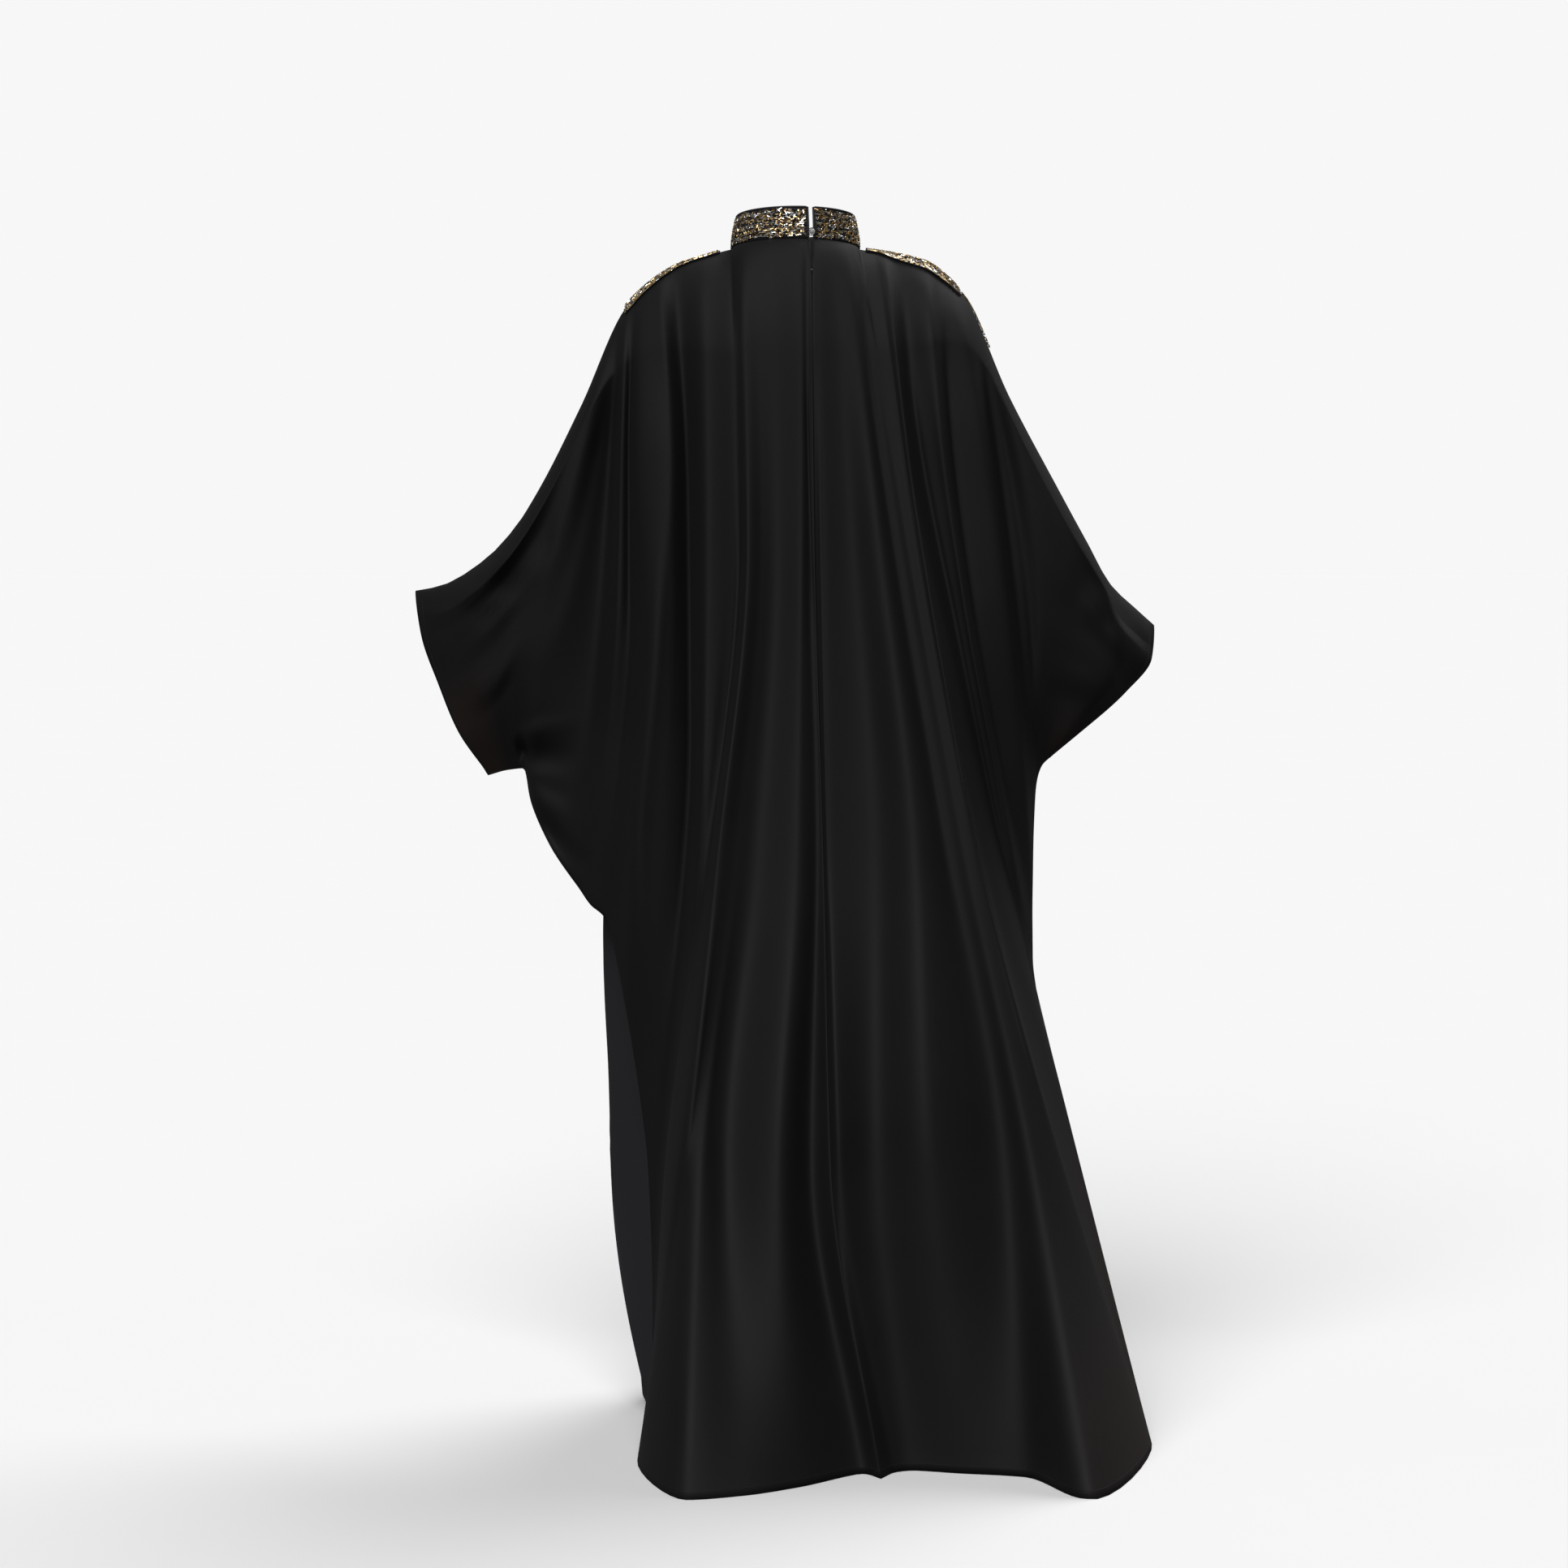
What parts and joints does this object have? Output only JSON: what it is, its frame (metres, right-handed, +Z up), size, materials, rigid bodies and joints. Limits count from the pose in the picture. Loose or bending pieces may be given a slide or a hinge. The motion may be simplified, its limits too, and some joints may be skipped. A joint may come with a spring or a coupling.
{
  "type": "kaftan",
  "caption": "Full-length batwing kaftan in its worn, hollow form, with a beaded stand collar closed at the centre back, beaded shoulders and a trailing back hem.",
  "frame": {"origin": "centre of the neck ring at the collar seam, where the wearer holds the garment up", "axes": "+Z up, the front faces -Y, the wearer's left is +X"},
  "size_m": [0.93, 0.674, 1.5041],
  "materials": {
    "crepe": "matte black crepe with a soft sheen",
    "beadwork": "gold, bronze and silver sequins and bugle beads",
    "bead": "clear faceted bead",
    "thread": "black thread"
  },
  "bodies": {
    "root": {"back_left": "crepe", "back_right": "crepe", "front": "crepe", "collar": "beadwork", "shoulder_trim_left": "beadwork", "shoulder_trim_right": "beadwork", "button": "bead", "button_loop": "thread"}
  },
  "joints": []
}
